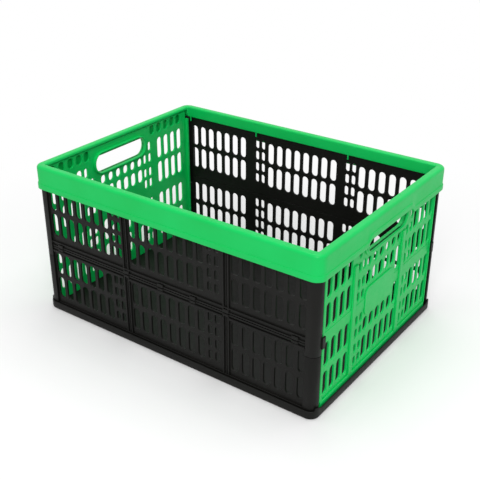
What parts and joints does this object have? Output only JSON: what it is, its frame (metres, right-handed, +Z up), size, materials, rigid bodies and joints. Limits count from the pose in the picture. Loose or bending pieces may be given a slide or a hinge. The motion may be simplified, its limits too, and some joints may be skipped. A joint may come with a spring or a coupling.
{
  "type": "collapsible storage crate",
  "caption": "Open-top folding crate: green rim and swing-in end panels with hand holes, black base and hinged slotted long sides.",
  "frame": {"origin": "centre of the footprint, on the underside of the base", "axes": "+X along the crate's length, +Y across its width, +Z up"},
  "size_m": [0.48, 0.348, 0.234],
  "materials": {
    "green_plastic": "semi-gloss moulded polypropylene, fine texture",
    "black_plastic": "satin moulded polypropylene, fine texture"
  },
  "bodies": {
    "base": {"base_tray": "black_plastic"},
    "front_lower": {"front_lower_panel": "black_plastic"},
    "front_upper": {"front_upper_panel": "black_plastic"},
    "rim": {"top_rim": "green_plastic"},
    "back_lower": {"back_lower_panel": "black_plastic"},
    "back_upper": {"back_upper_panel": "black_plastic"},
    "right_end": {"right_end_panel": "green_plastic"},
    "left_end": {"left_end_panel": "green_plastic"}
  },
  "joints": [
    {"name": "fold", "type": "hinge", "parent": "base", "child": "front_lower", "pos_m": [0, -0.1669, 0.005], "axis": [-1, 0, 0], "range_deg": [0, 1.5]},
    {"name": "front_knee", "type": "hinge", "parent": "front_lower", "child": "front_upper", "pos_m": [0, -0.1698, 0.108], "axis": [-1, 0, 0], "range_deg": [-3, 0]},
    {"name": "front_rim_hinge", "type": "hinge", "parent": "front_upper", "child": "rim", "pos_m": [0, -0.1669, 0.211], "axis": [-1, 0, 0], "range_deg": [0, 1.5]},
    {"name": "back_base_hinge", "type": "hinge", "parent": "base", "child": "back_lower", "pos_m": [0, 0.1669, 0.005], "axis": [1, 0, 0], "range_deg": [0, 1.5]},
    {"name": "back_knee", "type": "hinge", "parent": "back_lower", "child": "back_upper", "pos_m": [0, 0.1698, 0.108], "axis": [1, 0, 0], "range_deg": [-3, 0]},
    {"name": "right_end_swing", "type": "hinge", "parent": "rim", "child": "right_end", "pos_m": [0.2313, 0, 0.224], "axis": [0, 1, 0], "range_deg": [0, 90]},
    {"name": "left_end_swing", "type": "hinge", "parent": "rim", "child": "left_end", "pos_m": [-0.2313, 0, 0.224], "axis": [0, -1, 0], "range_deg": [0, 90]}
  ],
  "couplings": [
    {"joint": "front_knee", "follows": "fold", "ratio": -2},
    {"joint": "front_rim_hinge", "follows": "fold", "ratio": 1},
    {"joint": "back_base_hinge", "follows": "fold", "ratio": 1},
    {"joint": "back_knee", "follows": "fold", "ratio": -2}
  ]
}
